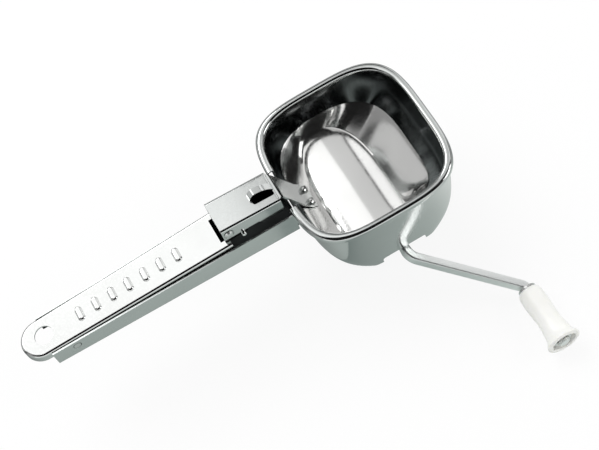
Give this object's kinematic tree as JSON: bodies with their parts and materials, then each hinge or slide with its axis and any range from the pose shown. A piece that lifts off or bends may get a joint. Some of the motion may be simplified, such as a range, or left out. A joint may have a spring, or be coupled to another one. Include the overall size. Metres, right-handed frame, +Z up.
{
  "type": "hand-held rotary grater",
  "caption": "Hand-held rotary grater with a square hopper, hinged food presser, squeeze handle, perforated drum and bent crank with a plastic knob.",
  "frame": {"origin": "middle of the flat underside of the channel handle", "axes": "+X along the handle towards the hopper, -Y towards the crank side, +Z up out of the hopper's mouth"},
  "size_m": [0.252, 0.1726, 0.09],
  "materials": {
    "polished_steel": "polished stainless steel",
    "satin_steel": "satin stainless steel",
    "tinned_steel": "dull tinned steel",
    "white_plastic": "warm white moulded plastic, half gloss"
  },
  "bodies": {
    "frame": {"hopper_shell": "polished_steel", "channel_handle": "satin_steel", "handle_saddle": "tinned_steel", "handle_rivet_1": "polished_steel", "handle_rivet_2": "polished_steel", "near_bracket": "tinned_steel", "bearing_bush": "satin_steel", "far_cradle": "tinned_steel", "cradle_rivet_1": "polished_steel", "cradle_rivet_2": "polished_steel", "cradle_rivet_3": "polished_steel", "lever_pivot_pin": "satin_steel"},
    "lever": {"press_lever": "polished_steel", "pivot_spacer": "satin_steel", "presser_hinge_pin": "polished_steel", "hinge_spacer": "satin_steel", "arm_stop_pin": "polished_steel"},
    "presser": {"presser_arm": "polished_steel", "presser_pan": "polished_steel", "pan_rivet_1": "polished_steel", "pan_rivet_2": "polished_steel"},
    "drum": {"drum_shell": "tinned_steel", "drum_cap": "tinned_steel", "drum_hub": "satin_steel", "drum_rim_ring": "tinned_steel", "drum_washer": "satin_steel", "crank_rod": "satin_steel", "crank_nut": "satin_steel", "knob_inner_washer": "satin_steel", "knob_outer_washer": "satin_steel"},
    "knob": {"knob": "white_plastic"}
  },
  "joints": [
    {"name": "lever_lift", "type": "hinge", "parent": "frame", "child": "lever", "pos_m": [-0.058, 0, 0.00925], "axis": [0, -1, 0], "range_deg": [0, 40]},
    {"name": "presser_fold", "type": "hinge", "parent": "lever", "child": "presser", "pos_m": [0.037, 0, 0.02625], "axis": [0, -1, 0], "range_deg": [0, 95]},
    {"name": "drum_turn", "type": "hinge", "parent": "frame", "child": "drum", "pos_m": [0.114, 0, -0.02425], "axis": [0, -1, 0], "continuous": true},
    {"name": "knob_spin", "type": "hinge", "parent": "drum", "child": "knob", "pos_m": [0.159, -0.0899, -0.04625], "axis": [0, -1, 0], "continuous": true}
  ]
}
